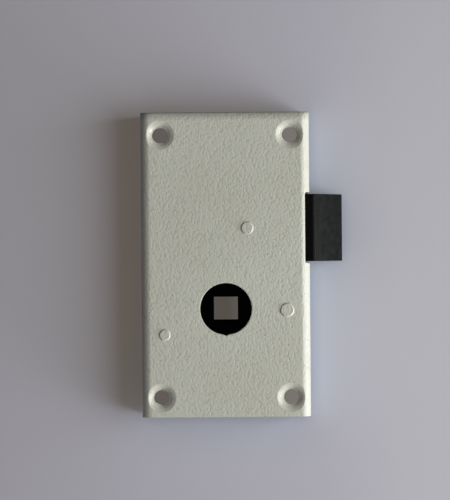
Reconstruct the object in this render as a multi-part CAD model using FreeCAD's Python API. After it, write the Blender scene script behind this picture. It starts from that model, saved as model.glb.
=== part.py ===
import FreeCAD, Part
import os
from math import acos, asin, atan2, cos, degrees, hypot, pi, radians, sin, sqrt, tan

# Rim door lock: a folded steel case with a sprung latch, worked by a square follower.
# Sizes are in millimetres. X runs towards the latch, Y runs back to the door, Z runs up.
# The origin is on the spindle axis, in the plane that lies against the door.
# Every piece is drawn with the latch out, which is how the springs leave it.

V = FreeCAD.Vector
BACKWARD = V(0, 1, 0)

# Case: one sheet, folded back along its two long sides.
case_width = 55.5
case_height = 100.0
case_depth = 16.0
case_sheet = 1.5
case_bend_inside = 1.5
spindle_height = 35.5  # from the case's lower end to the spindle axis

# Back plate: fills the open side, and its ends turn forward to close the box.
plate_sheet = 1.5
plate_bend_inside = 0.5
plate_side_gap = 0.15
plate_end_inset = 0.3
plate_lip_gap = 0.6  # from the case's front to the lips of the turned ends
plate_corner_gap = 1.0

# Holes for the four screws that hold the lock on the door, and the dimples round them.
fixing_from_side = 6.4
fixing_from_top = 7.4
fixing_from_bottom = 6.4
fixing_hole = 5.0
dimple_mouth = 9.4
dimple_shoulder = 7.2  # where the rounded-over mouth meets the screw's cone
dimple_lip = 1.0  # height of the round wall at the bottom of each dimple
plate_hole_excess = 2.2

# Follower: the hub that the square spindle turns.
spindle_square = 8.0
square_chamfer = 0.3
follower_hole = 16.95
journal_clearance = 0.08
rear_journal = 14.0
hub_diameter = 19.6
hub_recess = 0.3  # how far the hub's ends lie inside the case
hub_end_gap = 0.15
notch_width = 1.8
notch_depth = 0.33
turn = radians(38)

# Arms of the follower.
push_tip = 6.4
push_root = 9.6
push_waist = 4.4
stop_reach_short = 5.6  # how far the arm's tip stays from reaching the post's axis
stop_tip = 5.0
stop_root = 9.0
spring_arm_reach = 12.0
spring_arm_tip = 4.4
spring_arm_root = 7.0
spring_arm_angle = radians(187)
arm_front_gap = 2.7  # from the case front to the arms
arm_rear_gap = 1.3  # from the slide to the arms
arm_clearance = 0.15  # from the pushing arm to the lug that it pushes
arm_taper_share = 0.68  # of an arm's reach, where its taper ends
arm_root_from_axis = 6.5  # where an arm's taper starts, inside the hub
stop_clearance = 0.1

# Latch.
latch_height = 26.5  # above the spindle axis
latch_width = 22.2
latch_throw = 11.2
latch_flat = 1.5  # from the case side to the start of the bevel
latch_nose = 2.2
latch_inside = 15.5
latch_edge = 0.35
slot_side_gap = 0.55
slot_cut_in = 1.6  # how far the slot runs into the case's front
slot_corner = 0.7
slot_rear_gap = 0.35
sliding_gap = 0.2

# Slide: the steel plate that carries the latch head.
slide_sheet = 1.2
slide_rear_gap = 0.25
slide_bar = 11.4
slide_pad_inset = 0.6  # from each end of the latch head to the edge of the slide
slide_pad_length = 10.7
slide_end_gap = 0.8
slide_tail = 2.65  # how far the slide runs on past the lug's tongue
slide_corner = 1.5
lug_bend_inside = 0.6
lug_height = 6.0
lug_reach = 7.6
lug_tongue = 8.5
lug_below_arm = 0.43  # share of the lug's height that lies below the arm's tip
lug_edge_radius = 0.3

# Posts riveted into the case front. Their heads show as low round bumps.
upper_post_from_side = 20.6
upper_post_head = 4.3
upper_post_body = 7.0
upper_post_neck = 5.0
neck_slot_gap = 0.15
right_post_from_side = 7.65
right_post_z = -0.5
right_post_head = 4.7
right_post_body = 6.0
left_post_from_side = 7.65
left_post_z = -8.4
left_post_head = 3.9
left_post_body = 5.0
head_height = 0.35
head_slope = 0.4  # how far each head's side slopes in towards its top
tenon_step = 0.8  # how much thinner each post is where it goes through the case
rear_tenon = 3.2  # each post's other end, which is peened over in the back plate
rear_tenon_sink = 0.05
seat_clearance = 0.03  # round pieces that are held fast in a hole

# Sleeves on the two lower posts.
sleeve_clearance = 0.05
sleeve_end_gap = 0.1
stop_sleeve_wall = 1.15
bobbin_wall = 0.65
bobbin_flange = 9.4
bobbin_front_flange = 3.0

# Rivets that hold the latch head to the slide.
rivet_shank = 3.0
rivet_end_sink = 0.3
rivet_from_tail = 7.5

# Latch spring and the saddle that it pushes from.
latch_spring_mean = 5.3
latch_spring_wire = 0.7
latch_spring_turns = 5
latch_spring_length = 18.0
latch_spring_closing = 0.45  # how much closer than the mean the end turns lie
spring_bore_gap = 0.4
spring_bore_wall = 1.1
saddle_thickness = 1.5
saddle_length = 7.2
saddle_fork_gap = 0.2
saddle_grip = 1.8
spigot_gap = 0.3
spigot_length = 3.5
fork_post_gap = 0.3
spring_end_gap = 0.1

# Follower spring, wound round the bobbin on the left post.
coil_wire = 0.9
coil_bobbin_gap = 0.25
coil_pitch = 1.6
coil_full_turns = 2
coil_leg_gap = 0.1
coil_leg_overrun = 1.6
coil_wall_leg = 11.0
coil_front_gap = 0.15
wire_corners = 6  # the hidden spring wires are drawn six-sided, to keep them light
samples_per_turn = 24  # points on each turn, where a spring's gaps are measured

# Planes and edges that several pieces share.
half_width = case_width / 2
case_bottom = -spindle_height
case_top = case_bottom + case_height
front = -case_depth
web_rear = front + case_sheet
wall_inside = half_width - case_sheet
plate_front = -plate_sheet
slide_rear = plate_front - slide_rear_gap
slide_front = slide_rear - slide_sheet
latch_travel = latch_throw
upper_post_x = half_width - upper_post_from_side
right_post_x = half_width - right_post_from_side
left_post_x = left_post_from_side - half_width
bend_centre_x = wall_inside - case_bend_inside
bend_centre_y = web_rear + case_bend_inside
slot_start = half_width - slot_cut_in
slot_rear = slide_front + slot_rear_gap
bend_run = min(max(slot_start - bend_centre_x, 0), case_bend_inside)
latch_front = bend_centre_y - sqrt(case_bend_inside ** 2 - bend_run ** 2) + sliding_gap
latch_nose_x = half_width + latch_throw
latch_tail_x = half_width - latch_inside
arm_front = web_rear + arm_front_gap
arm_rear = slide_front - arm_rear_gap
push_reach = latch_travel / (2 * sin(turn / 2))
lug_face = push_reach * sin(turn / 2) - push_tip / 2 - arm_clearance
lug_bottom = push_reach * cos(turn / 2) - lug_height * lug_below_arm
saddle_face = upper_post_x + upper_post_body / 2 + saddle_thickness
fork_half = upper_post_body / 2 + fork_post_gap
fork_end = saddle_face + latch_travel + sliding_gap
spring_bore = latch_spring_mean + latch_spring_wire + 2 * spring_bore_gap
spring_axis_y = slide_front - spring_bore_wall - spring_bore / 2
rivet_x = latch_tail_x + rivet_from_tail
rivet_rise = (fork_half + latch_width / 2) / 2
stop_sleeve = right_post_body + 2 * (sleeve_clearance + stop_sleeve_wall)
stop_reach = hypot(right_post_x, right_post_z) - stop_reach_short
bobbin_core = left_post_body + 2 * (sleeve_clearance + bobbin_wall)
sleeve_front = web_rear + sleeve_end_gap
sleeve_rear = plate_front - sleeve_end_gap
hub_rear = plate_front - hub_end_gap
hub_front = web_rear + sliding_gap
journal_front = follower_hole - 2 * journal_clearance
plate_journal_hole = rear_journal + 2 * journal_clearance
rivet_z = [latch_height - rivet_rise, latch_height + rivet_rise]
post_places = {
    "upper_post": (upper_post_x, latch_height),
    "right_post": (right_post_x, right_post_z),
    "left_post": (left_post_x, left_post_z),
}
post_heads = {
    "upper_post": upper_post_head,
    "right_post": right_post_head,
    "left_post": left_post_head,
}
dimple_turn = front + (dimple_mouth - dimple_shoulder) / 2 * tan(pi / 8)
dimple_bottom = dimple_turn + (dimple_shoulder - fixing_hole) / 2
fixing_places = [
    (side * (half_width - fixing_from_side), z)
    for side in (-1, 1)
    for z in (case_bottom + fixing_from_bottom, case_top - fixing_from_top)
]


def block(x0, x1, y0, y1, z0, z1):
    return Part.makeBox(x1 - x0, y1 - y0, z1 - z0, V(x0, y0, z0))


def rod(x, z, diameter, y0, y1):
    """A cylinder along Y."""
    return Part.makeCylinder(diameter / 2, y1 - y0, V(x, y0, z), BACKWARD)


def turned(x, z, steps):
    """A lathe-turned piece along Y. Each step is a place along Y and the diameter there."""
    ends = [(steps[0][0], 0)] + steps + [(steps[-1][0], 0)]
    points = [V(x + diameter / 2, y, z) for y, diameter in ends]
    face = Part.Face(Part.makePolygon(points + points[:1]))
    return face.revolve(V(x, 0, z), BACKWARD, 360)


def corner_arc(before, corner, after, radius):
    """The arc that rounds a corner."""
    back = (before - corner).normalize()
    ahead = (after - corner).normalize()
    half = back.getAngle(ahead) / 2
    inward = (back + ahead).normalize()
    run = radius / tan(half)
    middle = corner + inward * (radius / sin(half) - radius)
    return Part.Arc(corner + back * run, middle, corner + ahead * run)


def outline(corners):
    """A closed wire of straight sides. Each corner is a point and its rounding radius."""
    arcs = []
    for i, (point, radius) in enumerate(corners):
        before, after = corners[i - 1][0], corners[(i + 1) % len(corners)][0]
        arcs.append(corner_arc(before, point, after, radius) if radius > 0 else point)
    edges = []
    for arc, following in zip(arcs, arcs[1:] + arcs[:1]):
        leave = arc.EndPoint if isinstance(arc, Part.Arc) else arc
        arrive = following.StartPoint if isinstance(following, Part.Arc) else following
        if isinstance(arc, Part.Arc):
            edges.append(arc.toShape())
        edges.append(Part.LineSegment(leave, arrive).toShape())
    return Part.Wire(edges)


def prism(corners, along):
    return Part.Face(outline(corners)).extrude(along)


def round_edges(solid, radius, chosen):
    """Rounds the edges for which chosen(edge) is true."""
    return solid.makeFillet(radius, [e for e in solid.Edges if chosen(e)])


def bevel_edges(solid, width, chosen):
    """Bevels the edges for which chosen(edge) is true."""
    return solid.makeChamfer(width, [e for e in solid.Edges if chosen(e)])


def case_shell():
    """Folded sheet with dimpled screw holes, the follower's hole and the latch's slot."""
    bend_outside = case_bend_inside + case_sheet
    section = [
        (V(-half_width, 0, case_bottom), 0),
        (V(-half_width, front, case_bottom), bend_outside),
        (V(half_width, front, case_bottom), bend_outside),
        (V(half_width, 0, case_bottom), 0),
        (V(wall_inside, 0, case_bottom), 0),
        (V(wall_inside, web_rear, case_bottom), case_bend_inside),
        (V(-wall_inside, web_rear, case_bottom), case_bend_inside),
        (V(-wall_inside, 0, case_bottom), 0),
    ]
    shell = prism(section, V(0, 0, case_height))
    for x, z in fixing_places:
        shell = shell.fuse(dimple_back(x, z))
    for x, z in fixing_places:
        shell = shell.cut(dimple_hollow(x, z))
    shell = shell.cut(rod(0, 0, follower_hole, front - 1, web_rear + 1))
    notch_z = -(follower_hole / 2 + notch_depth - notch_width / 2)
    shell = shell.cut(rod(0, notch_z, notch_width, front - 1, web_rear + 1))
    for name, head in post_heads.items():
        x, z = post_places[name]
        hole = head - tenon_step + 2 * seat_clearance
        shell = shell.cut(rod(x, z, hole, front - 1, web_rear + 1))
    return shell.cut(latch_slot())


def dimple_back(x, z):
    """The pressed cone that stands out inside the case round a screw hole."""
    wall = case_sheet * sqrt(2)
    start = front + case_sheet / 2
    tip = dimple_bottom + dimple_lip
    steps = [(y, dimple_shoulder + 2 * (dimple_turn + wall - y)) for y in (start, tip)]
    return turned(x, z, steps)


def dimple_hollow(x, z):
    """The rounded-over mouth, the cone for the screw's head and the hole."""
    end = dimple_bottom + dimple_lip + 1
    return turned(x, z, [
        (front - 1, dimple_mouth),
        (front, dimple_mouth),
        (dimple_turn, dimple_shoulder),
        (dimple_bottom, fixing_hole),
        (end, fixing_hole),
    ])


def latch_slot():
    """What is cut from the case for the latch: the side wall and a strip of the front."""
    half = latch_width / 2 + slot_side_gap
    low, high = latch_height - half, latch_height + half
    ahead = front - 1
    corners = [
        (V(slot_start, ahead, low), 0),
        (V(slot_start, slot_rear, low), slot_corner),
        (V(slot_start, slot_rear, high), slot_corner),
        (V(slot_start, ahead, high), 0),
    ]
    cutter = prism(corners, V(half_width - slot_start + 1, 0, 0))

    def inner_edge(edge):
        box = edge.BoundBox
        return box.XMax < slot_start + 0.01 and box.ZLength < 0.01

    return round_edges(cutter, slot_corner, inner_edge)


def back_plate():
    """Flat plate whose two ends turn forward, with holes for the hub, the screws and the posts."""
    top, bottom = case_top - plate_end_inset, case_bottom + plate_end_inset
    side = wall_inside - plate_side_gap
    lip = web_rear + plate_lip_gap
    bend_outside = plate_bend_inside + plate_sheet
    section = [
        (V(-side, lip, top), 0),
        (V(-side, 0, top), bend_outside),
        (V(-side, 0, bottom), bend_outside),
        (V(-side, lip, bottom), 0),
        (V(-side, lip, bottom + plate_sheet), 0),
        (V(-side, plate_front, bottom + plate_sheet), plate_bend_inside),
        (V(-side, plate_front, top - plate_sheet), plate_bend_inside),
        (V(-side, lip, top - plate_sheet), 0),
    ]
    plate = prism(section, V(2 * side, 0, 0))

    def lip_corner(edge):
        box = edge.BoundBox
        at_side = min(abs(box.XMin), abs(box.XMax)) > side - 0.01 and box.XLength < 0.01
        return at_side and box.YMax < lip + 0.01 and box.ZLength > 0.5 * plate_sheet

    plate = round_edges(plate, case_bend_inside + plate_corner_gap, lip_corner)
    plate = plate.cut(rod(0, 0, plate_journal_hole, plate_front - 1, 1))
    for x, z in fixing_places:
        plate = plate.cut(rod(x, z, fixing_hole + plate_hole_excess, plate_front - 1, 1))
    for x, z in post_places.values():
        plate = plate.cut(rod(x, z, rear_tenon + 2 * seat_clearance, plate_front - 1, 1))
    return plate


def post(name, steps):
    """A turned post: its round head outside the case, a tenon in each sheet and its body between."""
    x, z = post_places[name]
    head = post_heads[name]
    tenon = head - tenon_step
    top = head - 2 * head_slope
    ahead = [(front - head_height, top), (front, head), (front, tenon), (web_rear, tenon)]
    behind = [(plate_front, rear_tenon), (-rear_tenon_sink, rear_tenon)]
    return turned(x, z, ahead + steps + behind)


def upper_post():
    """It guides the slide with its neck, and the latch spring pushes against its body."""
    shoulder = slide_front - sliding_gap
    steps = [
        (web_rear, upper_post_body),
        (shoulder, upper_post_body),
        (shoulder, upper_post_neck),
        (plate_front, upper_post_neck),
    ]
    return post("upper_post", steps)


def right_post():
    """It carries the stop sleeve."""
    steps = [(web_rear, right_post_body), (plate_front, right_post_body)]
    return post("right_post", steps)


def left_post():
    """It carries the bobbin of the follower's spring."""
    steps = [(web_rear, left_post_body), (plate_front, left_post_body)]
    return post("left_post", steps)


def stop_sleeve_piece():
    """Plain sleeve on the right post, where the follower comes to rest."""
    x, z = post_places["right_post"]
    bore = right_post_body + 2 * sleeve_clearance
    return rod(x, z, stop_sleeve, sleeve_front, sleeve_rear).cut(rod(x, z, bore, web_rear, plate_front))


def spring_bobbin():
    """Flanged sleeve on the left post that holds the follower spring's coil."""
    x, z = post_places["left_post"]
    bore = left_post_body + 2 * sleeve_clearance
    inner_front = sleeve_front + bobbin_front_flange
    body = turned(x, z, [
        (sleeve_front, bobbin_flange),
        (inner_front, bobbin_flange),
        (inner_front, bobbin_core),
        (sleeve_rear, bobbin_core),
    ])
    return body.cut(rod(x, z, bore, web_rear, plate_front))


def spring_saddle():
    """It rests on the upper post and has a spigot that centres the latch spring."""
    half = fork_half - saddle_fork_gap
    left = upper_post_x + saddle_grip
    y0, y1 = spring_axis_y - saddle_length / 2, spring_axis_y + saddle_length / 2
    saddle = block(left, saddle_face, y0, y1, latch_height - half, latch_height + half)
    spigot = latch_spring_mean - latch_spring_wire - 2 * spigot_gap
    centre = V(saddle_face - saddle_thickness / 2, spring_axis_y, latch_height)
    peg = Part.makeCylinder(spigot / 2, spigot_length + saddle_thickness / 2, centre, V(1, 0, 0))
    hollow = rod(upper_post_x, latch_height, upper_post_body + 2 * seat_clearance, y0 - 1, y1 + 1)
    return saddle.fuse(peg).cut(hollow)


def latch_head():
    """Bevelled block, forked round the upper post, with a bore for its spring."""
    low, high = latch_height - latch_width / 2, latch_height + latch_width / 2
    bevel_start = half_width + latch_flat
    nose_front = slide_front - latch_nose
    section = [
        (V(latch_tail_x, latch_front, low), latch_edge),
        (V(bevel_start, latch_front, low), 2 * latch_edge),
        (V(latch_nose_x, nose_front, low), 2 * latch_edge),
        (V(latch_nose_x, slide_front, low), latch_edge),
        (V(latch_tail_x, slide_front, low), latch_edge),
    ]
    head = prism(section, V(0, 0, latch_width))

    def outer_edge(edge):
        box = edge.BoundBox
        return box.ZLength < 0.01 and box.XMax > wall_inside

    head = bevel_edges(head, latch_edge / 2, outer_edge)
    fork = (latch_height - fork_half, latch_height + fork_half)
    head = head.cut(block(latch_tail_x - 1, fork_end, latch_front - 1, slide_front + 1, *fork))
    bore_end = saddle_face + latch_spring_length
    start = V(fork_end - 1, spring_axis_y, latch_height)
    head = head.cut(Part.makeCylinder(spring_bore / 2, bore_end - fork_end + 1, start, V(1, 0, 0)))
    for z in rivet_z:
        head = head.cut(rivet_rod(z, seat_clearance, 1))
    return head


def rivet_rod(z, clearance, extra):
    """One rivet, or the hole for it: extra is how far a hole runs on past both of its ends."""
    start = latch_front + rivet_end_sink - extra
    return rod(rivet_x, z, rivet_shank + 2 * clearance, start, slide_rear + extra)


def latch_rivets():
    """Two plain rivets, peened flush with the slide behind."""
    return Part.makeCompound([rivet_rod(z, 0, 0) for z in rivet_z])


def latch_slide():
    """Stamped plate behind the latch head, with a guide slot and a lug bent forward."""
    bar = (latch_height - slide_bar / 2, latch_height + slide_bar / 2)
    pad_half = latch_width / 2 - slide_pad_inset
    pad = (latch_height - pad_half, latch_height + pad_half)
    pad_right = wall_inside - slide_end_gap
    pad_left = pad_right - slide_pad_length
    tongue = (lug_face - lug_tongue, lug_face - slide_sheet - lug_bend_inside)
    tail = tongue[0] - slide_tail
    small = slide_corner / 2
    corners = [
        (tail, bar[1], slide_corner),
        (pad_left, bar[1], slide_corner),
        (pad_left, pad[1], slide_corner),
        (pad_right, pad[1], slide_corner),
        (pad_right, pad[0], slide_corner),
        (pad_left, pad[0], slide_corner),
        (pad_left, bar[0], slide_corner),
        (tongue[1], bar[0], small),
        (tongue[1], lug_bottom, 0),
        (tongue[0], lug_bottom, slide_corner),
        (tongue[0], bar[0], small),
        (tail, bar[0], slide_corner),
    ]
    flat = prism([(V(x, slide_front, z), radius) for x, z, radius in corners], V(0, slide_sheet, 0))
    plate = flat.fuse(bent_lug(tongue[1] - small))
    neck = upper_post_neck / 2 + neck_slot_gap
    plate = plate.cut(guide_slot(upper_post_x, upper_post_x + latch_travel, neck))
    for z in rivet_z:
        plate = plate.cut(rivet_rod(z, seat_clearance, 1))
    return plate


def bent_lug(x_start):
    """The lug that the follower pushes, with the bend that joins it to the plate."""
    tip = slide_front - lug_reach
    section = [
        (V(x_start, slide_rear, lug_bottom), 0),
        (V(lug_face, slide_rear, lug_bottom), lug_bend_inside + slide_sheet),
        (V(lug_face, tip, lug_bottom), lug_edge_radius),
        (V(lug_face - slide_sheet, tip, lug_bottom), lug_edge_radius),
        (V(lug_face - slide_sheet, slide_front, lug_bottom), lug_bend_inside),
        (V(x_start, slide_front, lug_bottom), 0),
    ]
    return prism(section, V(0, 0, lug_height))


def guide_slot(x0, x1, radius):
    """A round-ended slot along X, through the slide."""
    y0, y1 = slide_front - 1, slide_rear + 1
    middle = block(x0, x1, y0, y1, latch_height - radius, latch_height + radius)
    ends = [rod(x, latch_height, 2 * radius, y0, y1) for x in (x0, x1)]
    return middle.multiFuse(ends)


def arm(angle, reach, tip, root, waist, y0, y1):
    """A follower arm at an angle from +X towards +Z: a tapered root, a waist and a round tip."""
    shoulder = max(reach * arm_taper_share, hub_diameter / 2)
    corners = [
        (V(0, y0, -root / 2), 0),
        (V(arm_root_from_axis, y0, -root / 2), 0),
        (V(shoulder, y0, -waist / 2), 0),
        (V(reach, y0, -waist / 2), 0),
        (V(reach, y0, waist / 2), 0),
        (V(shoulder, y0, waist / 2), 0),
        (V(arm_root_from_axis, y0, root / 2), 0),
        (V(0, y0, root / 2), 0),
    ]
    piece = prism(corners, V(0, y1 - y0, 0)).fuse(rod(reach, 0, tip, y0, y1))
    piece.rotate(V(0, 0, 0), V(0, -1, 0), degrees(angle))
    return piece


def stop_arm_angle():
    """Where the stop arm's tip meets the stop sleeve, leaving its clearance."""
    away = hypot(right_post_x, right_post_z)
    apart = (stop_tip + stop_sleeve) / 2 + stop_clearance
    between = acos((away ** 2 + stop_reach ** 2 - apart ** 2) / (2 * away * stop_reach))
    return atan2(right_post_z, right_post_x) + between


def follower():
    """Moulded hub with two journals, a square hole and three arms."""
    body = turned(0, 0, [
        (front + hub_recess, journal_front),
        (hub_front, journal_front),
        (hub_front, hub_diameter),
        (hub_rear, hub_diameter),
        (hub_rear, rear_journal),
        (-hub_recess, rear_journal),
    ])
    push = arm(pi / 2 - turn / 2, push_reach, push_tip, push_root, push_waist, arm_front, arm_rear)
    stop = arm(stop_arm_angle(), stop_reach, stop_tip, stop_root, stop_tip, arm_front, arm_rear)
    sizes = (spring_arm_reach, spring_arm_tip, spring_arm_root, spring_arm_tip)
    spring = arm(spring_arm_angle, *sizes, arm_front, arm_rear)
    body = body.multiFuse([push, stop, spring]).removeSplitter()
    half = spindle_square / 2
    body = body.cut(block(-half, half, front, 0, -half, half))
    for y, outward in ((front + hub_recess, -1), (-hub_recess, 1)):
        body = body.cut(square_mouth(y, outward))
    return body


def square_mouth(y, outward):
    """A chamfer round one end of the square hole."""
    wires = []
    for step in (-1, 1):
        half = spindle_square / 2 + step * square_chamfer
        at = y + outward * step * square_chamfer
        points = [V(-half, at, -half), V(half, at, -half), V(half, at, half), V(-half, at, half)]
        wires.append(Part.makePolygon(points + points[:1]))
    return Part.makeLoft(wires, True, True)


def biarc(start, start_way, end, end_way):
    """Two arcs that leave start and reach end in the given directions."""
    gap = end - start
    ways = start_way + end_way
    a = 2 * (1 - start_way.dot(end_way))
    b = gap.dot(ways)
    step = (-b + sqrt(b * b + a * gap.dot(gap))) / a
    knee, bend = start + start_way * step, end - end_way * step
    middle = (knee + bend) * 0.5
    return [arc_past(start, knee, middle), arc_past(middle, bend, end)]


def arc_past(start, knee, end):
    """The arc from start to end whose tangents there meet at knee."""
    centre = (start + end) * 0.5
    half_chord = (end - start).Length / 2
    lean = acos(min(half_chord / (knee - start).Length, 1))
    rise = half_chord / sin(lean) * (1 - cos(lean))
    top = centre + (knee - centre).normalize() * rise
    return Part.Arc(start, top, end).toShape()


def wire_tube(name, edges, diameter):
    """A thin wire along a smooth path. Prints its volume against section times length."""
    path = Part.Wire(edges)
    start = path.Edges[0].valueAt(path.Edges[0].FirstParameter)
    way = path.Edges[0].tangentAt(path.Edges[0].FirstParameter)
    side = way.cross(BACKWARD).normalize() * diameter / 2
    up = way.cross(side)
    step = 2 * pi / wire_corners
    corners = [start + side * cos(step * i) + up * sin(step * i) for i in range(wire_corners)]
    tube = path.makePipeShell([Part.makePolygon(corners + corners[:1])], True, False)
    expected = wire_corners / 8 * diameter ** 2 * sin(step) * path.Length
    print(f"{name}: volume {tube.Volume:.2f}, section times length {expected:.2f}, valid {tube.isValid()}")
    return tube


def print_least_gap(name, points, diameter):
    """Prints how near the wire comes to itself, from points more than half a turn apart."""
    least = min(
        (points[j] - points[i]).Length
        for i in range(len(points))
        for j in range(i + samples_per_turn // 2, len(points))
    )
    print(f"{name}: least gap to itself {least - diameter:.2f}")


def curve_edges(point, way, start, end, steps):
    """Biarcs along a curve, whose place and direction are functions of an angle."""
    edges = []
    for i in range(steps):
        a = start + (end - start) * i / steps
        b = start + (end - start) * (i + 1) / steps
        edges += biarc(point(a), way(a), point(b), way(b))
    return edges


def latch_spring():
    """Compression spring from the saddle to the end of the latch head's bore."""
    radius = latch_spring_mean / 2
    margin = spring_end_gap + latch_spring_wire / 2
    length = latch_spring_length - 2 * margin
    whole = 2 * pi * latch_spring_turns

    def point(angle):
        share = angle / whole
        along = length * (share - latch_spring_closing * sin(2 * pi * share) / (2 * pi))
        x = saddle_face + margin + along
        return V(x, spring_axis_y + radius * cos(angle), latch_height + radius * sin(angle))

    def way(angle):
        rate = length * (1 - latch_spring_closing * cos(2 * pi * angle / whole)) / whole
        return V(rate, -radius * sin(angle), radius * cos(angle)).normalize()

    count = samples_per_turn * latch_spring_turns + 1
    samples = [point(2 * pi * i / samples_per_turn) for i in range(count)]
    print_least_gap("latch_spring", samples, latch_spring_wire)
    edges = curve_edges(point, way, 0, whole, 2 * latch_spring_turns)
    return wire_tube("latch_spring", edges, latch_spring_wire)


def follower_spring():
    """Torsion spring: one leg lies under the follower's spring arm, the other on the case wall."""
    radius = bobbin_core / 2 + coil_bobbin_gap + coil_wire / 2
    tip = V(spring_arm_reach * cos(spring_arm_angle), 0, spring_arm_reach * sin(spring_arm_angle))
    centre = V(left_post_x, 0, left_post_z)
    to_tip = tip - centre
    rise = radius + (spring_arm_tip + coil_wire) / 2 + coil_leg_gap
    slope = atan2(to_tip.z, to_tip.x) - asin(rise / to_tip.Length)
    start = slope + pi / 2
    leg = to_tip.x * cos(slope) + to_tip.z * sin(slope) + coil_leg_overrun
    wall_run = -wall_inside + (coil_wire / 2 + coil_leg_gap) - left_post_x
    reach = hypot(radius, coil_wall_leg)
    end = 2 * pi - acos(wall_run / reach) - atan2(coil_wall_leg, radius) + 2 * pi * coil_full_turns
    first_y = sleeve_front + bobbin_front_flange + coil_front_gap + coil_wire / 2

    def point(angle):
        y = first_y + coil_pitch * (angle - start) / (2 * pi)
        return V(left_post_x + radius * cos(angle), y, left_post_z + radius * sin(angle))

    def way(angle):
        return V(-radius * sin(angle), coil_pitch / (2 * pi), radius * cos(angle)).normalize()

    count = int((end - start) / (2 * pi) * samples_per_turn)
    samples = [point(start + 2 * pi * i / samples_per_turn) for i in range(count)]
    print_least_gap("follower_spring", samples, coil_wire)
    free_end = point(start) - way(start) * leg
    wall_end = point(end) + way(end) * coil_wall_leg
    edges = [Part.LineSegment(free_end, point(start)).toShape()]
    edges += curve_edges(point, way, start, end, 2 * coil_full_turns + 1)
    edges.append(Part.LineSegment(point(end), wall_end).toShape())
    return wire_tube("follower_spring", edges, coil_wire)


pieces = {
    "case_shell": case_shell,
    "back_plate": back_plate,
    "upper_post": upper_post,
    "right_post": right_post,
    "left_post": left_post,
    "stop_sleeve": stop_sleeve_piece,
    "spring_bobbin": spring_bobbin,
    "spring_saddle": spring_saddle,
    "latch_head": latch_head,
    "latch_slide": latch_slide,
    "latch_rivets": latch_rivets,
    "latch_spring": latch_spring,
    "follower": follower,
    "follower_spring": follower_spring,
}

os.makedirs("parts", exist_ok=True)
for name, make in pieces.items():
    shape = make()
    shape.exportStep(f"parts/{name}.step")
    box = shape.BoundBox
    print(
        f"{name}: {len(shape.Solids)} solid(s), valid {shape.isValid()}, volume {shape.Volume:.1f},",
        f"x {box.XMin:.2f} to {box.XMax:.2f}, y {box.YMin:.2f} to {box.YMax:.2f},",
        f"z {box.ZMin:.2f} to {box.ZMax:.2f}",
    )
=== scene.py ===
import bpy
from math import cos, pi, radians, sin
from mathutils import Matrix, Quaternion, Vector


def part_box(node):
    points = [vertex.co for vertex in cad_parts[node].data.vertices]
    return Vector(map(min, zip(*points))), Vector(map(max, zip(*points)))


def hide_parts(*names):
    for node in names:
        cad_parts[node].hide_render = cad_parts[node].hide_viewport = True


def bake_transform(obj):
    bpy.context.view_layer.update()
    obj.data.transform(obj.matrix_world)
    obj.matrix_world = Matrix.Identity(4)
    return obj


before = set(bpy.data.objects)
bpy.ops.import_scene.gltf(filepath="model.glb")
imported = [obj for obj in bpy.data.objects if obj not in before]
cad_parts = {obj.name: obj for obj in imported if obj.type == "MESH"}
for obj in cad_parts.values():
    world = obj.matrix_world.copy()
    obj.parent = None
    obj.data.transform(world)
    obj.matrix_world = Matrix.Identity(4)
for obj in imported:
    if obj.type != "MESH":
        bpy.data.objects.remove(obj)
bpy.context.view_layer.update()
scene = bpy.context.scene

# Sizes are in metres. X runs towards the latch, Y runs back to the door, Z runs up.
CASE_FRONT = -0.016
CASE_MIDDLE_Z = 0.0145
TOP_END = 0.0645
TOP_ROLL = 0.0028  # how far the case's rolled top end reaches down its face
TOP_ROLL_POWER = 2.4  # how late the roll sets in
TOP_ROLL_DROP = 0.36  # how far it falls away, as a share of its reach
DIMPLE_X = 0.02135
DIMPLES_MIDDLE_Z = 0.014
DIMPLES_HALF_Z = 0.0431
DIMPLE_EDGE = (0.0044, 0.0052)  # how far from a dimple's middle the face's grain sets in
GRAIN_HEIGHT = 0.000048
WORN_DULLING = 0.75  # how much rougher worn plastic is
LATCH_EDGE = (0.02885, 0.02965)  # from the flat to the bevel on the latch

SPRING_WIRE = 0.0007
SPRING_TURNS = 5
SPRING_CLOSING = 0.45  # how much closer than the mean the end turns lie
COIL_STEPS = 32  # per turn
WIRE_CORNERS = 10

WALL_Y = 0.0006
WALL_HALF_WIDTH = 0.9
WALL_TOP = 0.9
OPENING_HALF_WIDTH = 0.0265
OPENING_BOTTOM = -0.0345
OPENING_TOP = 0.0635
GLOW_GAP = 0.00002  # between the wall and the glow before it
CONTACT_SHADE = 0.12  # painted shade: how strongly the wall's colour darkens next to the lock
SHADE_REACH = 0.02
PAINTED_SHADE_FROM_X = (0.027, 0.028)  # painted shade: the wall is bluer and darker beside the lock, to the right of this
PAINTED_SHADE_BELOW_Z = (-0.036, -0.035)  # and beneath it, below this
BLIND_Y = -0.0013
BLIND_CORNERS = 24
SPINDLE_BLIND_RADIUS = 0.0039
HOLE_BLIND_RADIUS = 0.0035
FLOOR_Z = -0.6
FLOOR_HALF_WIDTH = 3
ROOM_HEIGHT = 3.6

PHOTO_HEIGHT_PX = 500
PHOTO_PX_PER_MM = 3.05
CAMERA_DISTANCE = 0.6
AIM_X = -0.00016
AIM_Z = 0.01932
CAMERA_ROLL = radians(0.47)

WHITE = (1, 1, 1)
BLACK = (0, 0, 0)
DAYLIGHT = (0.95, 0.98, 1.0)


# Node helpers

def new_material(name):
    material = bpy.data.materials.new(name)
    material.use_nodes = True
    material.cycles.emission_sampling = "NONE"
    tree = material.node_tree
    tree.nodes.clear()
    output = tree.nodes.new("ShaderNodeOutputMaterial")
    return material, tree, output


def node(tree, kind, **values):
    """A new node. Values named after its settings are set there, and others on its sockets."""
    made = tree.nodes.new(kind)
    for key, value in values.items():
        if hasattr(made, key):
            setattr(made, key, value)
        else:
            made.inputs[key.replace("_", " ")].default_value = value
    return made


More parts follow.
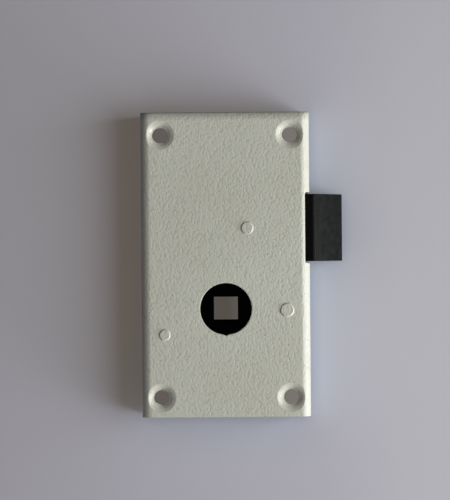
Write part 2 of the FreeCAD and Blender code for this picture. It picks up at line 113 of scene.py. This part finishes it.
def link(tree, source, target):
    tree.links.new(source, target)


def places_mm(tree, stretch=(1, 1, 1), turn=(0, 0, 0)):
    """Object coordinates in millimetres, stretched and turned for grain that runs one way."""
    coordinates = node(tree, "ShaderNodeTexCoord")
    mapping = node(tree, "ShaderNodeMapping")
    mapping.inputs["Scale"].default_value = [1000 * s for s in stretch]
    mapping.inputs["Rotation"].default_value = turn
    link(tree, coordinates.outputs["Object"], mapping.inputs["Vector"])
    return mapping.outputs["Vector"]


def noise(tree, places, scale, detail=2.0, roughness=0.5, distortion=0.0):
    made = node(tree, "ShaderNodeTexNoise", Scale=scale, Detail=detail)
    made.inputs["Roughness"].default_value = roughness
    made.inputs["Distortion"].default_value = distortion
    link(tree, places, made.inputs["Vector"])
    return made.outputs["Fac"]


def ramp(tree, value, stops, mode="LINEAR"):
    made = node(tree, "ShaderNodeValToRGB")
    elements = made.color_ramp.elements
    made.color_ramp.interpolation = mode
    while len(elements) < len(stops):
        elements.new(0.5)
    for element, (position, colour) in zip(elements, stops):
        element.position = position
        element.color = (*colour, 1) if hasattr(colour, "__len__") else (colour, colour, colour, 1)
    link(tree, value, made.inputs["Fac"])
    return made.outputs["Color"]


def mix(tree, factor, first, second, blend="MIX"):
    """A mix of two colours. Inputs 0, 6 and 7 and output 2 are the ones for colours."""
    made = node(tree, "ShaderNodeMix", data_type="RGBA", blend_type=blend)
    for value, target in ((factor, made.inputs[0]), (first, made.inputs[6]), (second, made.inputs[7])):
        if isinstance(value, bpy.types.NodeSocket):
            link(tree, value, target)
        elif hasattr(value, "__len__"):
            target.default_value = (*value, 1)
        else:
            target.default_value = value
    return made.outputs[2]


def sum_of(tree, first, second, share):
    """first + second * share"""
    made = node(tree, "ShaderNodeMath", operation="MULTIPLY_ADD")
    link(tree, second, made.inputs[0])
    made.inputs[1].default_value = share
    link(tree, first, made.inputs[2])
    return made.outputs[0]


def bump(tree, height, distance, strength=1.0, normal=None):
    made = node(tree, "ShaderNodeBump", Distance=distance)
    if isinstance(strength, bpy.types.NodeSocket):
        link(tree, strength, made.inputs["Strength"])
    else:
        made.inputs["Strength"].default_value = strength
    link(tree, height, made.inputs["Height"])
    if normal:
        link(tree, normal, made.inputs["Normal"])
    return made.outputs["Normal"]


def spread(tree, value, low, high, at_low=0.0, at_high=1.0):
    """Turns values from low to high into values from at_low to at_high."""
    made = node(tree, "ShaderNodeMapRange")
    for name, number in (("From Min", low), ("From Max", high), ("To Min", at_low), ("To Max", at_high)):
        made.inputs[name].default_value = number
    link(tree, value, made.inputs["Value"])
    return made.outputs["Result"]


def place_on(tree, axis):
    """The place along one axis, in metres."""
    parts = node(tree, "ShaderNodeSeparateXYZ")
    link(tree, node(tree, "ShaderNodeTexCoord").outputs["Object"], parts.inputs[0])
    return parts.outputs[axis]


def across(tree, stops, axis="X"):
    """A colour that changes from place to place along an axis; places in metres."""
    low, high = stops[0][0], stops[-1][0]
    along = spread(tree, place_on(tree, axis), low, high)
    return ramp(tree, along, [((place - low) / (high - low), colour) for place, colour in stops])


def top_rounding(tree):
    """How far the painted face falls away, in metres, towards the case's rolled top end."""
    curve = node(tree, "ShaderNodeMath", operation="POWER")
    link(tree, spread(tree, place_on(tree, "Z"), TOP_END - TOP_ROLL, TOP_END), curve.inputs[0])
    curve.inputs[1].default_value = TOP_ROLL_POWER
    drop = node(tree, "ShaderNodeMath", operation="MULTIPLY")
    link(tree, curve.outputs[0], drop.inputs[0])
    drop.inputs[1].default_value = -TOP_ROLL_DROP * TOP_ROLL
    return drop.outputs[0]


def from_dimple(tree):
    """The distance from the middle of the nearest dimple, in metres."""
    offsets = node(tree, "ShaderNodeCombineXYZ")
    for axis, middle, half in (("X", 0.0, DIMPLE_X), ("Z", DIMPLES_MIDDLE_Z, DIMPLES_HALF_Z)):
        centred = node(tree, "ShaderNodeMath", operation="SUBTRACT")
        link(tree, place_on(tree, axis), centred.inputs[0])
        centred.inputs[1].default_value = middle
        folded = node(tree, "ShaderNodeMath", operation="ABSOLUTE")
        link(tree, centred.outputs[0], folded.inputs[0])
        offset = node(tree, "ShaderNodeMath", operation="SUBTRACT")
        link(tree, folded.outputs[0], offset.inputs[0])
        offset.inputs[1].default_value = half
        link(tree, offset.outputs[0], offsets.inputs[axis])
    distance = node(tree, "ShaderNodeVectorMath", operation="LENGTH")
    link(tree, offsets.outputs[0], distance.inputs[0])
    return distance.outputs["Value"]


# Materials

def powder_coat(name, rounding):
    """Off-white powder coat with a pebbled grain and painted shade in its hollows, smoother in the
    dimples, and sparse dark specks.
    """
    material, tree, output = new_material(name)
    shader = node(tree, "ShaderNodeBsdfPrincipled", IOR=1.5)
    reach = from_dimple(tree)
    link(tree, spread(tree, reach, *DIMPLE_EDGE, at_low=0.20, at_high=0.32), shader.inputs["Roughness"])
    shader.inputs["Sheen Weight"].default_value = 0.4
    shader.inputs["Sheen Roughness"].default_value = 0.5
    grain_places = places_mm(tree, stretch=(1.0, 1.0, 0.74), turn=(0, radians(18), 0))
    pebbles = noise(tree, grain_places, 1.46, detail=1.0, roughness=0.45, distortion=0.1)
    plateaus = ramp(tree, pebbles, [(0.30, 0.0), (0.50, 0.62), (0.68, 1.0)], "EASE")
    fine = noise(tree, places_mm(tree), 2.6, 2.0)
    height = sum_of(tree, plateaus, fine, 0.22)
    edge = node(tree, "ShaderNodeBevel", samples=6, Radius=rounding)
    rolled = bump(tree, top_rounding(tree), distance=1.0, normal=edge.outputs["Normal"])
    grain = spread(tree, reach, *DIMPLE_EDGE, at_low=0.4, at_high=1.0)
    link(tree, bump(tree, height, GRAIN_HEIGHT, grain, rolled), shader.inputs["Normal"])

    broad = noise(tree, places_mm(tree), 0.035, 2.0)
    tone = ramp(tree, broad, [(0.35, (0.612, 0.600, 0.500)), (0.65, (0.652, 0.640, 0.542))])
    # Painted shade: the tone is darker in the low parts of the pebbled grain.
    grain_hollow_shade = mix(tree, 0.35, tone, ramp(tree, pebbles, [(0.30, 0.70), (0.46, 1.0)]), "MULTIPLY")
    speck_field = noise(tree, places_mm(tree), 1.55, detail=0.0)
    speck_choice = noise(tree, places_mm(tree), 0.30, detail=0.0)
    speck_mask = node(tree, "ShaderNodeMath", operation="MULTIPLY")
    link(tree, ramp(tree, speck_field, [(0.765, 0.0), (0.83, 0.8)]), speck_mask.inputs[0])
    link(tree, ramp(tree, speck_choice, [(0.50, 0.0), (0.58, 1.0)]), speck_mask.inputs[1])
    colour = mix(tree, speck_mask.outputs[0], grain_hollow_shade, (0.20, 0.17, 0.13))
    link(tree, colour, shader.inputs["Base Color"])
    link(tree, shader.outputs["BSDF"], output.inputs["Surface"])
    return material


def black_plastic(name, base, lighter, roughness, grain, specular, rounding, worn=None):
    """Moulded plastic: faint cloudy tone, uneven gloss and a fine grain, dulled where it is worn."""
    material, tree, output = new_material(name)
    shader = node(tree, "ShaderNodeBsdfPrincipled", IOR=1.5)
    shader.inputs["Specular IOR Level"].default_value = specular
    cloud = noise(tree, places_mm(tree), 0.16, 3.0)
    colour = ramp(tree, cloud, [(0.3, base), (0.7, lighter)])
    link(tree, colour, shader.inputs["Base Color"])
    patches = noise(tree, places_mm(tree), 0.5, detail=3.0)
    gloss = ramp(tree, patches, [(0.3, roughness - 0.02), (0.7, roughness + 0.02)])
    if worn:
        low, high = worn
        fade = (high - low) / 8
        band = across(tree, [(low, BLACK), (low + fade, WHITE), (high - fade, WHITE), (high, BLACK)])
        gloss = sum_of(tree, gloss, band, WORN_DULLING)
    link(tree, gloss, shader.inputs["Roughness"])
    fine = noise(tree, places_mm(tree), 5.0, 3.0)
    edge = node(tree, "ShaderNodeBevel", samples=4, Radius=rounding)
    grained = bump(tree, fine, grain, strength=0.6, normal=edge.outputs["Normal"])
    link(tree, grained, shader.inputs["Normal"])
    link(tree, shader.outputs["BSDF"], output.inputs["Surface"])
    return material


def plated_steel(name, tone, roughness, stretch):
    """Zinc-plated steel: rolling lines and a mottled bloom."""
    material, tree, output = new_material(name)
    shader = node(tree, "ShaderNodeBsdfPrincipled", Metallic=1.0)
    lines = noise(tree, places_mm(tree, stretch), 3.0, detail=3.0, roughness=0.6)
    bloom = noise(tree, places_mm(tree), 0.12, detail=4.0, roughness=0.6)
    darker = [c * 0.75 for c in tone]
    mottled = ramp(tree, bloom, [(0.3, darker), (0.7, tone)])
    streaked = ramp(tree, lines, [(0.3, darker), (0.7, tone)])
    link(tree, mix(tree, 0.5, mottled, streaked), shader.inputs["Base Color"])
    duller = ramp(tree, bloom, [(0.3, roughness), (0.7, roughness + 0.12)])
    gloss = sum_of(tree, duller, lines, share=0.1)
    link(tree, gloss, shader.inputs["Roughness"])
    edge = node(tree, "ShaderNodeBevel", samples=4, Radius=0.00015)
    grained = bump(tree, lines, 0.00001, strength=0.6, normal=edge.outputs["Normal"])
    link(tree, grained, shader.inputs["Normal"])
    link(tree, shader.outputs["BSDF"], output.inputs["Surface"])
    return material


def nylon():
    """Natural nylon: milky, slightly see-through at its edges, with a faint grain."""
    material, tree, output = new_material("nylon")
    shader = node(tree, "ShaderNodeBsdfPrincipled", Roughness=0.45, IOR=1.53)
    shader.inputs["Subsurface Weight"].default_value = 0.15
    shader.inputs["Subsurface Radius"].default_value = (0.001, 0.001, 0.0008)
    cloud = noise(tree, places_mm(tree), 0.3, 3.0)
    milky = ramp(tree, cloud, [(0.3, (0.62, 0.60, 0.52)), (0.7, (0.74, 0.72, 0.65))])
    link(tree, milky, shader.inputs["Base Color"])
    fine = noise(tree, places_mm(tree), 4.0)
    link(tree, bump(tree, fine, 0.00001, strength=0.5), shader.inputs["Normal"])
    link(tree, shader.outputs["BSDF"], output.inputs["Surface"])
    return material


case_paint = powder_coat("powder_coat", rounding=0.0006)
post_paint = powder_coat("post_powder_coat", rounding=0.00025)
zinc = plated_steel("zinc_plate", tone=(0.60, 0.61, 0.62), roughness=0.32, stretch=(0.05, 1, 1))
rivet_steel = plated_steel("rivet_steel", tone=(0.52, 0.53, 0.54), roughness=0.35, stretch=(1, 1, 1))
spring_wires = {
    name: plated_steel(name + "_wire", tone=(0.36, 0.36, 0.37), roughness=0.30, stretch=(1, 1, 1))
    for name in ("latch_spring", "follower_spring")
}
latch_plastic = black_plastic(
    "latch_plastic",
    base=(0.0012, 0.0012, 0.0012),
    lighter=(0.002, 0.002, 0.002),
    roughness=0.22,
    grain=0.000004,
    specular=0.38,
    rounding=0.00004,
    worn=LATCH_EDGE,
)
follower_plastic = black_plastic(
    "follower_plastic",
    base=(0.0006, 0.0006, 0.0007),
    lighter=(0.0011, 0.0011, 0.0013),
    roughness=0.60,
    grain=0.00001,
    specular=0.0,
    rounding=0.00015,
)
materials = {
    "case_shell": case_paint,
    "upper_post": post_paint,
    "right_post": post_paint,
    "left_post": post_paint,
    "back_plate": zinc,
    "latch_slide": zinc,
    "latch_rivets": rivet_steel,
    **spring_wires,
    "stop_sleeve": nylon(),
    "spring_bobbin": nylon(),
    "spring_saddle": nylon(),
    "latch_head": latch_plastic,
    "follower": follower_plastic,
}
for name, material in materials.items():
    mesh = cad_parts[name].data
    mesh.materials.clear()
    mesh.materials.append(material)


def coil(name, low, high, wire, turns, closing):
    """Compression spring of round wire that fills a box, with its axis along X."""
    radius = (high[2] - low[2] - wire) / 2
    length = high[0] - low[0] - wire
    middle = Vector((low[0] + wire / 2, (low[1] + high[1]) / 2, (low[2] + high[2]) / 2))
    corners, faces = [], []
    rings = COIL_STEPS * turns + 1
    for ring in range(rings):
        angle, share = 2 * pi * ring / COIL_STEPS, ring / (rings - 1)
        along = length * (share - closing * sin(2 * pi * share) / (2 * pi))
        rate = length * (1 - closing * cos(2 * pi * share)) / (2 * pi * turns)
        outward = Vector((0, cos(angle), sin(angle)))
        way = Vector((rate, -radius * sin(angle), radius * cos(angle))).normalized()
        sideways = way.cross(outward)
        centre = middle + Vector((along, 0, 0)) + radius * outward
        for corner in range(WIRE_CORNERS):
            turn = 2 * pi * corner / WIRE_CORNERS
            corners.append(centre + wire / 2 * (cos(turn) * outward + sin(turn) * sideways))
    for start in range(0, WIRE_CORNERS * (rings - 1), WIRE_CORNERS):
        ahead = start + WIRE_CORNERS
        for corner in range(WIRE_CORNERS):
            after = (corner + 1) % WIRE_CORNERS
            faces.append((start + corner, start + after, ahead + after, ahead + corner))
    last = WIRE_CORNERS * (rings - 1)
    faces.append(tuple(range(WIRE_CORNERS - 1, -1, -1)))
    faces.append(tuple(range(last, last + WIRE_CORNERS)))
    mesh = bpy.data.meshes.new(name)
    mesh.from_pydata(corners, [], faces)
    for face in mesh.polygons[:-2]:
        face.use_smooth = True
    mesh.validate()
    piece = bpy.data.objects.new(name, mesh)
    scene.collection.objects.link(piece)
    return piece


# A coil made to fit the latch spring's box stands in for its part, which is hidden.
low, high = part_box("latch_spring")
spring = coil("latch_spring_coil", low, high, SPRING_WIRE, SPRING_TURNS, SPRING_CLOSING)
spring.data.materials.append(materials["latch_spring"])
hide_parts("latch_spring")
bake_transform(spring)


# Stage: a pale wall behind the lock with painted light and shade, a pale floor below it, a room round them
# and soft lights.

def sheet(name, corners, faces, material):
    mesh = bpy.data.meshes.new(name)
    mesh.from_pydata(corners, [], faces)
    mesh.materials.append(material)
    made = bpy.data.objects.new(name, mesh)
    scene.collection.objects.link(made)
    return made


def wall_corners(left, right, bottom, top):
    return [(left, WALL_Y, bottom), (right, WALL_Y, bottom), (right, WALL_Y, top), (left, WALL_Y, top)]


def one_sided(tree, output, front):
    """Clear from behind, so that the lock's back can be seen."""
    choice = node(tree, "ShaderNodeMixShader")
    link(tree, node(tree, "ShaderNodeNewGeometry").outputs["Backfacing"], choice.inputs[0])
    link(tree, front, choice.inputs[1])
    link(tree, node(tree, "ShaderNodeBsdfTransparent").outputs["BSDF"], choice.inputs[2])
    link(tree, choice.outputs["Shader"], output.inputs["Surface"])


def shaded(tree, colour):
    """Painted shade: a colour that darkens a little next to the lock."""
    near = node(tree, "ShaderNodeAmbientOcclusion", samples=8, Distance=SHADE_REACH)
    return mix(tree, CONTACT_SHADE, colour, near.outputs["AO"], "MULTIPLY")


def wall_material():
    """Pale and matt, with painted light that makes it lighter to the right, and painted shade that makes
    it bluer and darker close beside and beneath the lock.
    """
    material, tree, output = new_material("stage_wall")
    matt = node(tree, "ShaderNodeBsdfDiffuse")
    left, middle, right = (0.362, 0.366, 0.440), (0.424, 0.427, 0.508), (0.454, 0.457, 0.520)
    # Painted light: the tone is lighter to the right, on the side where the lamps stand.
    tone = across(tree, [(-0.09, left), (0.034, middle), (0.06, right), (0.09, right)])
    beside = across(tree, [(PAINTED_SHADE_FROM_X[0], BLACK), (PAINTED_SHADE_FROM_X[1], WHITE)])
    beneath = across(tree, [(PAINTED_SHADE_BELOW_Z[0], WHITE), (PAINTED_SHADE_BELOW_Z[1], BLACK)], "Z")
    painted_shade_sides = sum_of(tree, beside, beneath, share=1.0)
    # Painted shade: beside and beneath the lock the tone is darkened and turned bluer where the wall sees
    # little round it.
    for reach, painted_shade_tint in ((0.005, (0.72, 0.74, 0.81)), (SHADE_REACH, (0.85, 0.95, 1.0))):
        near = node(tree, "ShaderNodeAmbientOcclusion", samples=8, Distance=reach)
        tint = ramp(tree, near.outputs["AO"], [(0.5, painted_shade_tint), (1.0, WHITE)])
        tone = mix(tree, painted_shade_sides, tone, tint, "MULTIPLY")
    link(tree, shaded(tree, tone), matt.inputs["Color"])
    one_sided(tree, output, matt.outputs["BSDF"])
    return material


def glow_material():
    """Painted light: lifts the shadows on the wall by a warm tone that is added to it, painted a little
    darker next to the lock.
    """
    material, tree, output = new_material("stage_wall_glow")
    lift = node(tree, "ShaderNodeEmission", Strength=1.0)
    link(tree, shaded(tree, (0.091, 0.075, 0.054)), lift.inputs["Color"])
    both = node(tree, "ShaderNodeAddShader")
    link(tree, lift.outputs["Emission"], both.inputs[0])
    link(tree, node(tree, "ShaderNodeBsdfTransparent").outputs["BSDF"], both.inputs[1])
    one_sided(tree, output, both.outputs["Shader"])
    return material


def filling_material():
    """Painted shade: a dim glowing tone for what shows through the left holes, the spindle's hole and the
    right holes, darkest in the spindle's hole and lightest in the right holes.
    """
    material, tree, output = new_material("stage_filling")
    lift = node(tree, "ShaderNodeEmission", Strength=1.0)
    # Painted shade: dim tones of the shaded surface behind the lock, lighter to the right.
    tones = [(-0.021, (0.122, 0.105, 0.098)), (0.0, (0.091, 0.078, 0.069)), (0.021, (0.191, 0.174, 0.159))]
    link(tree, across(tree, tones), lift.inputs["Color"])
    one_sided(tree, output, lift.outputs["Emission"])
    return material


def floor_material():
    """Pale and matt, for the floor and the blinds."""
    material, tree, output = new_material("stage_floor")
    matt = node(tree, "ShaderNodeBsdfDiffuse")
    matt.inputs["Color"].default_value = (0.55, 0.555, 0.58, 1)
    link(tree, matt.outputs["BSDF"], output.inputs["Surface"])
    return material


def room_material():
    """A plain pale grey, a little lighter upwards."""
    material, tree, output = new_material("stage_room")
    shine = node(tree, "ShaderNodeEmission", Strength=1.0)
    tones = [(FLOOR_Z, (0.40, 0.40, 0.415)), (0.6, (0.50, 0.50, 0.52))]
    link(tree, across(tree, tones, "Z"), shine.inputs["Color"])
    link(tree, shine.outputs["Emission"], output.inputs["Surface"])
    return material


def hide_from(piece, *rays):
    for ray in rays:
        setattr(piece, "visible_" + ray, False)


# The wall has an opening behind the lock, so that the lock's back is lit as if the wall weren't there.
# Only the camera sees the filling of the opening, which is painted shade, and the glow, which is painted
# light that lifts the shadows on the wall.
opening = wall_corners(-OPENING_HALF_WIDTH, OPENING_HALF_WIDTH, OPENING_BOTTOM, OPENING_TOP)
ring = [(0, 1, 5, 4), (1, 2, 6, 5), (2, 3, 7, 6), (3, 0, 4, 7)]
corners = wall_corners(-WALL_HALF_WIDTH, WALL_HALF_WIDTH, FLOOR_Z, WALL_TOP) + opening
wall = sheet("stage_wall", corners, ring, wall_material())
hide_from(wall, "shadow")
nearer = [(x, y - GLOW_GAP, z) for x, y, z in corners]
glow = sheet("stage_wall_glow", nearer, ring, glow_material())
filling = sheet("stage_filling", opening, [(0, 1, 2, 3)], filling_material())
for piece in (glow, filling):
    hide_from(piece, "shadow", "diffuse", "glossy", "transmission")


def disc(x, z, radius):
    turns = [radians(360 / BLIND_CORNERS * step) for step in range(BLIND_CORNERS)]
    return [(x + radius * cos(turn), BLIND_Y, z + radius * sin(turn)) for turn in turns]


# Blinds in the back plate's holes and in the spindle's hole keep the back light out of the case.
blind_corners = disc(0, 0, SPINDLE_BLIND_RADIUS)
for x in (-DIMPLE_X, DIMPLE_X):
    for z in (DIMPLES_MIDDLE_Z - DIMPLES_HALF_Z, DIMPLES_MIDDLE_Z + DIMPLES_HALF_Z):
        blind_corners += disc(x, z, HOLE_BLIND_RADIUS)
firsts = range(0, len(blind_corners), BLIND_CORNERS)
blind_faces = [tuple(range(first, first + BLIND_CORNERS)) for first in firsts]
blinds = sheet("stage_blinds", blind_corners, blind_faces, floor_material())
hide_from(blinds, "camera")

# The floor sheds light from below. Neither the camera nor a mirror sees it.
low_side, high_side = -FLOOR_HALF_WIDTH, FLOOR_HALF_WIDTH
floor_plan = [(low_side, low_side), (high_side, low_side), (high_side, high_side), (low_side, high_side)]
floor_corners = [(x, y, FLOOR_Z) for x, y in floor_plan]
floor = sheet("stage_floor", floor_corners, [(0, 1, 2, 3)], floor_material())
hide_from(floor, "camera", "glossy")

# The pale room is what the camera sees round the wall. It sheds no light.
room_corners = floor_corners + [(x, y, FLOOR_Z + ROOM_HEIGHT) for x, y in floor_plan]
room_faces = [(0, 1, 2, 3), (4, 5, 6, 7), (0, 1, 5, 4), (1, 2, 6, 5), (2, 3, 7, 6), (3, 0, 4, 7)]
room = sheet("stage_room", room_corners, room_faces, room_material())
hide_from(room, "shadow", "diffuse", "glossy", "transmission")


def area_light(name, place, target, width, height, power, colour=WHITE):
    data = bpy.data.lights.new(name, "AREA")
    data.shape = "RECTANGLE"
    data.size = width
    data.size_y = height
    data.energy = power
    data.color = colour
    light = bpy.data.objects.new(name, data)
    light.location = place
    light.rotation_euler = (Vector(target) - Vector(place)).to_track_quat("-Z", "Y").to_euler()
    light.visible_camera = False
    scene.collection.objects.link(light)


centre = (0, CASE_FRONT / 2, CASE_MIDDLE_Z)
area_light(
    "window",
    place=(0.48, -0.55, -0.05),
    target=(0, -0.55, -0.05),
    width=0.86,
    height=0.44,
    power=5.8,
    colour=DAYLIGHT,
)
area_light(
    "low_window",
    place=(0.70, -0.098, -0.36),
    target=centre,
    width=0.16,
    height=0.48,
    power=4.4,
    colour=DAYLIGHT,
)
area_light("behind", place=(0.45, 0.95, -0.05), target=centre, width=1.7, height=1.3, power=5.0)

# The sky is bright behind the lock and dim on the camera's side.
world = bpy.data.worlds.new("soft_sky")
world.use_nodes = True
sky = world.node_tree
direction = node(sky, "ShaderNodeSeparateXYZ")
link(sky, node(sky, "ShaderNodeTexCoord").outputs["Generated"], direction.inputs[0])
brighter = ramp(sky, direction.outputs["Y"], [(0.05, (0.045, 0.040, 0.034)), (0.3, (0.40, 0.40, 0.40))])
link(sky, brighter, sky.nodes["Background"].inputs["Color"])
world.cycles.sampling_method = "NONE"
scene.world = world
scene.view_settings.view_transform = "Standard"

# Camera: square to the case's front and rolled a little, as in the photograph.
camera_data = bpy.data.cameras.new("camera")
camera_data.sensor_width = 36.0
camera_data.sensor_fit = "AUTO"
view_height = PHOTO_HEIGHT_PX / PHOTO_PX_PER_MM / 1000
camera_data.lens = camera_data.sensor_width * CAMERA_DISTANCE / view_height
camera_data.clip_start = 0.01
camera_data.clip_end = 20.0
camera = bpy.data.objects.new("camera", camera_data)
camera.location = (AIM_X, CASE_FRONT - CAMERA_DISTANCE, AIM_Z)
camera.rotation_mode = "QUATERNION"
level = Vector((0, 1, 0)).to_track_quat("-Z", "Y")
camera.rotation_quaternion = Quaternion((0, 1, 0), CAMERA_ROLL) @ level
scene.collection.objects.link(camera)
scene.camera = camera
